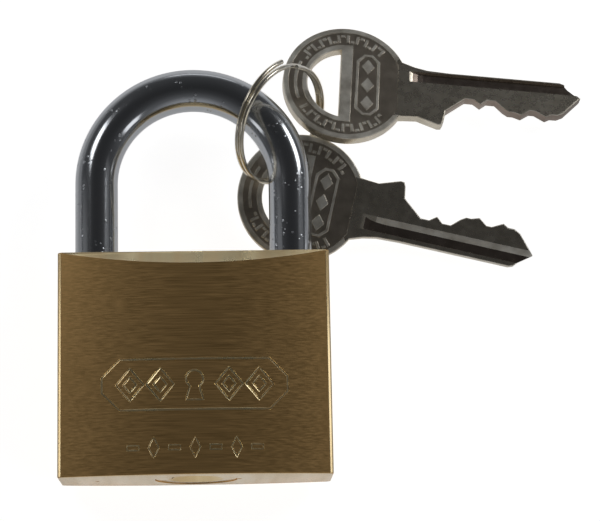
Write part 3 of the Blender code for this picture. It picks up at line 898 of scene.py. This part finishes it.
def key_outline():
    bow = arc((0, 0), BOW_R, 28, 329, 150)
    neck = [(9.6, -4.9), (11.2, -4.8), (14.4, -5.9), (15.0, -5.85), (15.3, -5.2), (15.6, -3.4)]
    blade = []
    for i, (start, end, floor) in enumerate(KEY_CUTS):
        blade += [(start, floor), (end, floor)]
        if i < len(KEY_PEAKS):
            blade.append(KEY_PEAKS[i])
    tip = [(34.0, -2.0), (36.6, 0.9), (34.6, 2.4), (34.0, 3.1), (33.3, 3.35)]
    back = [(16.0, 3.35), (12.6, 3.5), (10.6, 3.9)]
    return bow + neck + blade + tip + back


def ring_hole():
    half = math.degrees(math.acos(-HOLE_FLAT_X / HOLE_R)) - 4
    return arc((0, 0), HOLE_R, 180 - half, 180 + half, 60)


def sector(inner, outer, start, end, steps=2):
    """A short bar of a circular band."""
    near = arc((0, 0), inner, start, end, steps)
    return near + arc((0, 0), outer, end, start, steps)


def band_marks():
    """A broken key-pattern band: radial bars, joined in turn at the inside and at the outside."""
    low, high = BAND_R
    marks = []
    for i in range(BAND_BARS):
        angle = BAND_START + BAND_PITCH * i
        if BAND_GAP[0] < angle < BAND_GAP[1]:
            continue
        marks.append(sector(low, high, angle - 1.3, angle + 1.3))
        radii = (low, low + BAND_LINE) if i % 2 else (high - BAND_LINE, high)
        marks.append(sector(*radii, angle + 3.3, angle + BAND_PITCH - 3.3))
    marks.append(sector(7.65, 8.05, 156, 204, 12))
    return marks


def recess_outlines():
    """What is sunk on each side of the bow: its field, round the hole's border, the frame and marks."""
    field = arc((0, 0), 8.95, 26, 334, 110)
    border = arc((0, 0), 6.75, 97, 263, 60) + [(0.8, -6.72), (0.8, 6.72)]
    line = 0.32
    frame_out = octagon((1.5, -5.3), (5.1, 5.3), 1.15)
    frame_in = octagon((1.5 + line, -5.3 + line), (5.1 - line, 5.3 - line), 1.0)
    lozenges = [lozenge((3.3, y), 0.95, 1.25) for y in (-3.2, 0.0, 3.2)]
    return [field, border, frame_out, frame_in] + lozenges + band_marks()


def key_groove(side, low, high, run):
    """The milled groove of one side, which rises out of the metal at the bow."""
    out = GROOVE_OVERSHOOT
    rings = []
    for x, depth in GROOVE_START:
        share = depth / GROOVE_DEPTH
        section = (
            (low - run * out / GROOVE_DEPTH, out),
            (low + run * share, -depth),
            (high - GROOVE_WALL_RUN * share, -depth),
            (high + GROOVE_WALL_RUN * out / GROOVE_DEPTH, out),
        )
        rings.append([(x * MM, y * MM, side * (KEY_THICKNESS / 2 + z) * MM) for y, z in section])
    return loft("groove", rings)


def key_finish(face):
    """Which finish a face has, while the key still lies in its own frame."""
    x, y, z = face.center
    steep = abs(face.normal.z)
    half = KEY_THICKNESS / 2 * MM
    sunk = steep > 0.95 and abs(z) < half - 0.5 * RELIEF * MM
    groove_floor = sunk and x > 9 * MM
    blade_cut = x > 15.4 * MM and y < 0.3 * MM and steep < 0.5
    raised = abs(z) > half - 0.9 * RELIEF * MM and x < 7.9 * MM
    groove_wall = x > 12 * MM and 0.6 < steep < 0.95
    # groove floors and the walls of the blade's cuts get the darkest finish: painted shade
    if groove_floor or blade_cut:
        return PAINTED_SHADE
    if sunk:
        return FIELD
    # raised tops on the bow and the groove's sloped walls get the lighter finish: painted highlight, partly
    # rubbed wear
    return RUBBED_AND_PAINTED_HIGHLIGHT if raised or groove_wall else WORN


def make_key(name, body, matrix, finishes):
    outlines = [scaled(key_outline()), scaled(ring_hole())]
    key = plate(name, outlines, KEY_THICKNESS * MM, KEY_EDGE * MM)
    reach = 1.0 * MM
    height = KEY_THICKNESS / 2 * MM + reach - RELIEF * MM
    for side in (1, -1):
        outlines = [scaled(line) for line in recess_outlines()]
        cutter = plate("field", outlines, 2 * reach, RELIEF_EDGE * MM)
        cutter.data.transform(Matrix.Translation((0, 0, side * height)))
        boolean(key, cutter)
    for groove in GROOVES:
        boolean(key, key_groove(*groove))
    indices = [key_finish(face) for face in key.data.polygons]
    smooth(key, 35)
    normals = [corner.vector.copy() for corner in key.data.corner_normals]
    for face in key.data.polygons:
        if abs(face.normal.z) > 0.95:
            for loop in face.loop_indices:
                normals[loop] = face.normal.copy()
    key.data.normals_split_custom_set(normals)
    key.data.transform(matrix)
    show(key, body, "key_nickel", finishes, body)
    for face, index in zip(key.data.polygons, indices):
        face.material_index = index


def key_place(bow_centre, heading, tip_drop, roll, flipped):
    angles = [math.radians(angle) for angle in (roll, tip_drop, heading)]
    turn = Euler(angles, "XYZ").to_matrix()
    flip = Matrix.Rotation(math.pi, 4, "X") if flipped else Matrix.Identity(4)
    return Matrix.Translation(Vector(bow_centre) * MM) @ turn.to_4x4() @ flip


# ---------------------------------------------------------------- studio


def softbox(name, direction, size, power):
    """An area light that looks at the lock from a direction."""
    data = bpy.data.lights.new(name, "AREA")
    data.shape = "RECTANGLE"
    data.size = size[0]
    data.size_y = size[1]
    data.energy = power
    light = new_object(name, data)
    away = Vector(direction).normalized()
    light.location = LIGHT_TARGET + away * LIGHT_DISTANCE
    light.rotation_euler = away.to_track_quat("Z", "Y").to_euler()


def make_world():
    """Dark overhead, with light low on both Y sides; the camera itself sees a pale backdrop."""
    world = bpy.data.worlds.new("studio")
    bpy.context.scene.world = world
    world.use_nodes = True
    tree = world.node_tree
    background = tree.nodes["Background"]
    background.inputs["Color"].default_value = WORLD_COLOUR
    place = tree.nodes.new("ShaderNodeTexCoord")
    split = tree.nodes.new("ShaderNodeSeparateXYZ")
    tree.links.new(place.outputs["Generated"], split.inputs["Vector"])
    sky = grey_ramp(tree, split.outputs["Z"], SKY)
    near = calculation(tree, "MULTIPLY", split.outputs["Y"], -1.0)
    near_side = grey_ramp(tree, near, NEAR_SIDE)
    far_side = grey_ramp(tree, split.outputs["Y"], FAR_SIDE)
    level = calculation(tree, "ADD", calculation(tree, "ADD", sky, near_side), far_side)
    tree.links.new(seen_directly(tree, WORLD_SEEN, level), background.inputs["Strength"])


def make_floor():
    shape = bmesh.new()
    bmesh.ops.create_grid(shape, x_segments=1, y_segments=1, size=FLOOR_HALF_SIZE)
    floor = finished("floor", shape)
    floor.location = (0, 0, min(0.0, cad_box[0].z) - FLOOR_GAP)
    floor.data.materials.append(floor_white())


def make_camera():
    data = bpy.data.cameras.new("camera")
    data.lens = CAMERA_LENS
    data.sensor_width = 36
    data.clip_start = 0.01
    data.clip_end = 100
    camera = new_object("camera", data)
    camera.location = CAMERA_PLACE
    camera.rotation_euler = [math.radians(angle) for angle in CAMERA_TURN]
    bpy.context.scene.camera = camera


def finish_inside(bright, steel, springs):
    """Gives the CAD pieces inside the body their metals."""
    finishes = {
        "key_pin": bright,
        "driver_pin": steel,
        "pin_spring": springs,
        "latch_bolt": steel,
        "driver_cam": steel,
        "shackle_spring": springs,
        "plug_clip": springs,
    }
    for name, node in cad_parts.items():
        for start, finish in finishes.items():
            if name.startswith(start):
                node.data.materials.clear()
                node.data.materials.append(finish)


def main():
    bpy.context.scene.view_settings.view_transform = "Standard"
    brass = brushed_brass()
    bright = machined_brass("polished_brass", (0.72, 0.53, 0.27), (0.86, 0.68, 0.40), 0.19)
    # machined brass lighter than the brushed face: partly its own finish, partly painted sheen on the top
    # slopes and engraved lines
    slope_brass_painted_sheen = machined_brass("slope_brass_painted_sheen", (0.94, 0.72, 0.40), (1.0, 0.86, 0.54), 0.3)
    steel = zinc_steel()
    springs = ring_steel()
    key_finishes = (
        nickel("key_nickel", (0.62, 0.565, 0.465), (0.76, 0.70, 0.59), 0.27),
        nickel("key_field", (0.50, 0.44, 0.36), (0.64, 0.565, 0.47), 0.33),
        # lighter finish for raised tops and groove walls: painted highlight, partly rubbed wear
        nickel("key_rubbed_and_painted_highlight", (0.62, 0.58, 0.50), (1.0, 0.97, 0.88), 0.5),
        # dark finish for groove floors and cut walls: painted shade
        nickel("key_groove", (0.30, 0.24, 0.20), (0.40, 0.33, 0.28), 0.22),
    )
    make_body(brass, bright, slope_brass_painted_sheen)
    make_shackle(chrome())
    make_ring(springs)
    make_plug(bright)
    for i in range(PIN_COUNT):
        node = f"chamber_plug_{i + 1}"
        make_cross_pin(f"closing_disc_{i + 1}", "brushed_brass", bright, node)
    make_cross_pin("fixing_pin", "zinc_steel", steel, "shackle_retaining_pin")
    make_key("worn_key_1", "key_1", key_place(*KEY_1_PLACE, False), key_finishes)
    make_key("worn_key_2", "key_2", key_place(*KEY_2_PLACE, True), key_finishes)
    finish_inside(bright, steel, springs)
    make_world()
    make_floor()
    make_camera()
    for light in LIGHTS:
        softbox(*light)


main()
